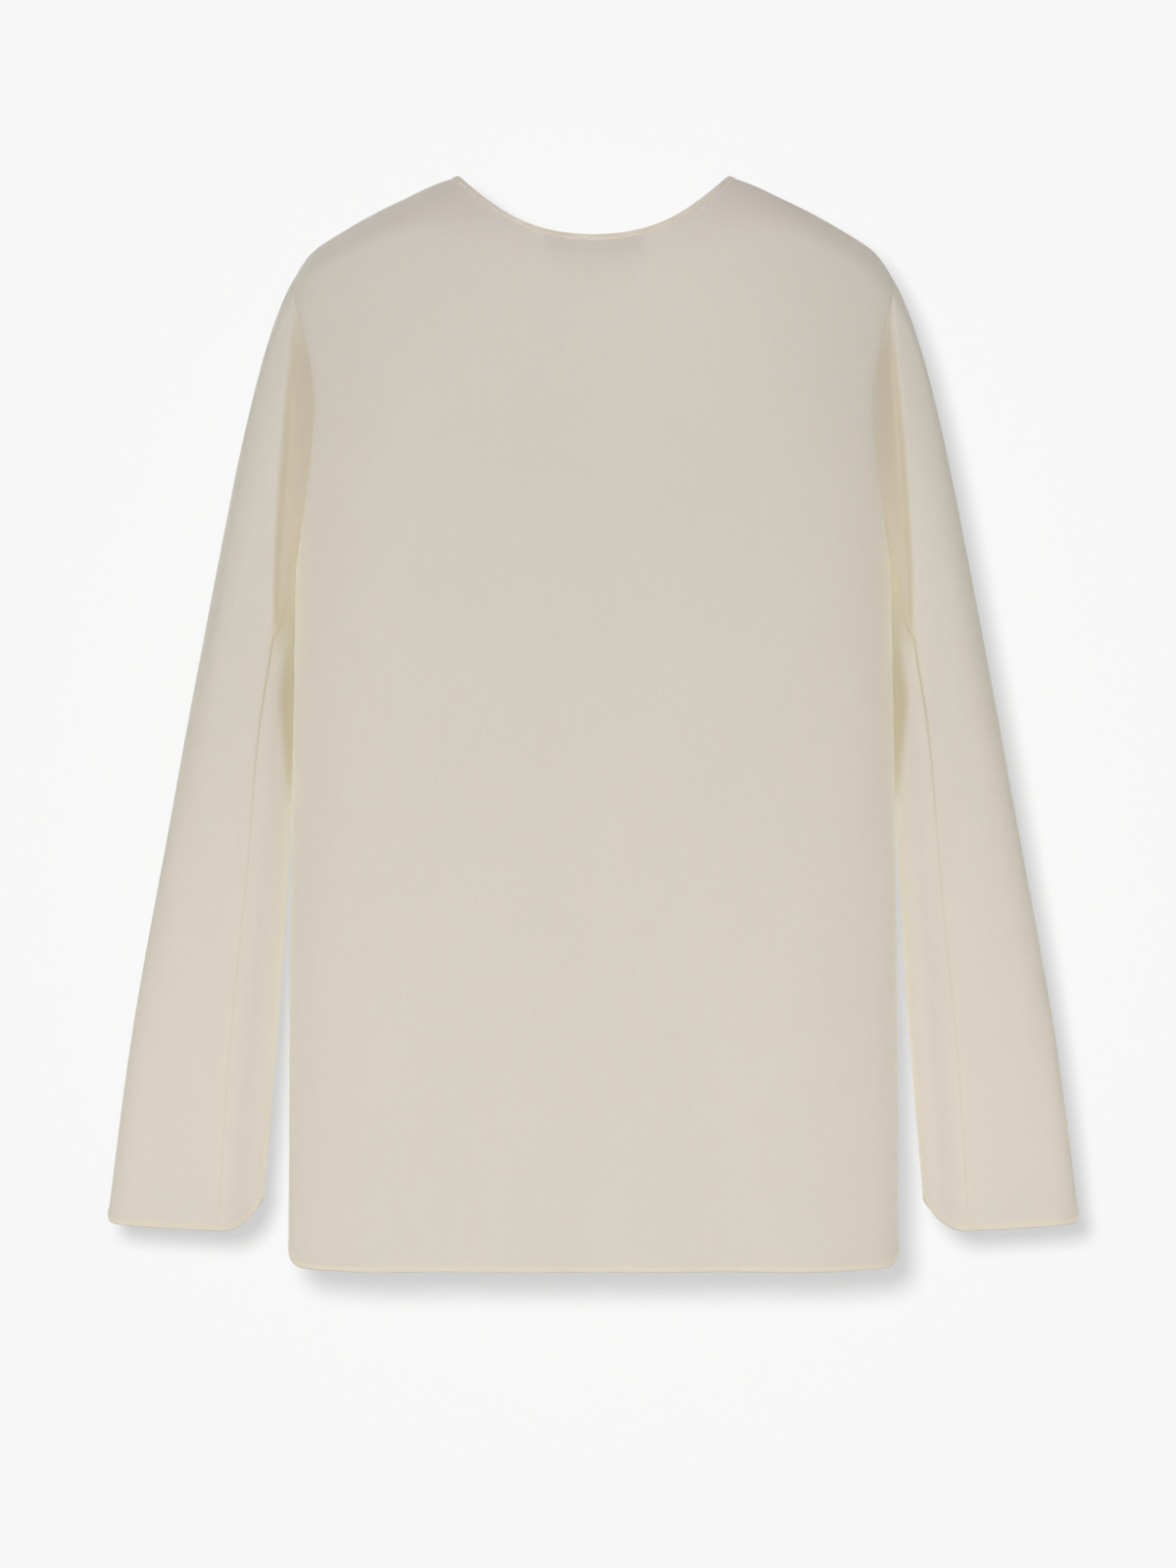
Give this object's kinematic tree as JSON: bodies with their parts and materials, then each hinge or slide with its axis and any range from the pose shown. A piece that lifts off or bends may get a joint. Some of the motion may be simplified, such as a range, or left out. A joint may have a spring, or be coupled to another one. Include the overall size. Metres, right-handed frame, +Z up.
{
  "type": "silk blouse",
  "caption": "Long-sleeved silk blouse with a wide round neck, filled out as if worn, open at the neck, hem and cuffs.",
  "frame": {"origin": "midway between the two side neck points, where the shoulder seams meet the neck edge and the blouse hangs on the wearer", "axes": "+Z up, -Y the way the wearer faces, +X the wearer's left"},
  "size_m": [0.639, 0.2099, 0.7029],
  "materials": {
    "silk": "soft crepe with a low sheen",
    "silk_binding": "bias strip of the same crepe, folded and pressed",
    "label_tape": "plain matt woven tape"
  },
  "bodies": {
    "root": {"back_panel": "silk", "front_panel": "silk", "left_sleeve": "silk", "right_sleeve": "silk", "neck_binding": "silk_binding", "neck_label": "label_tape"}
  },
  "joints": []
}
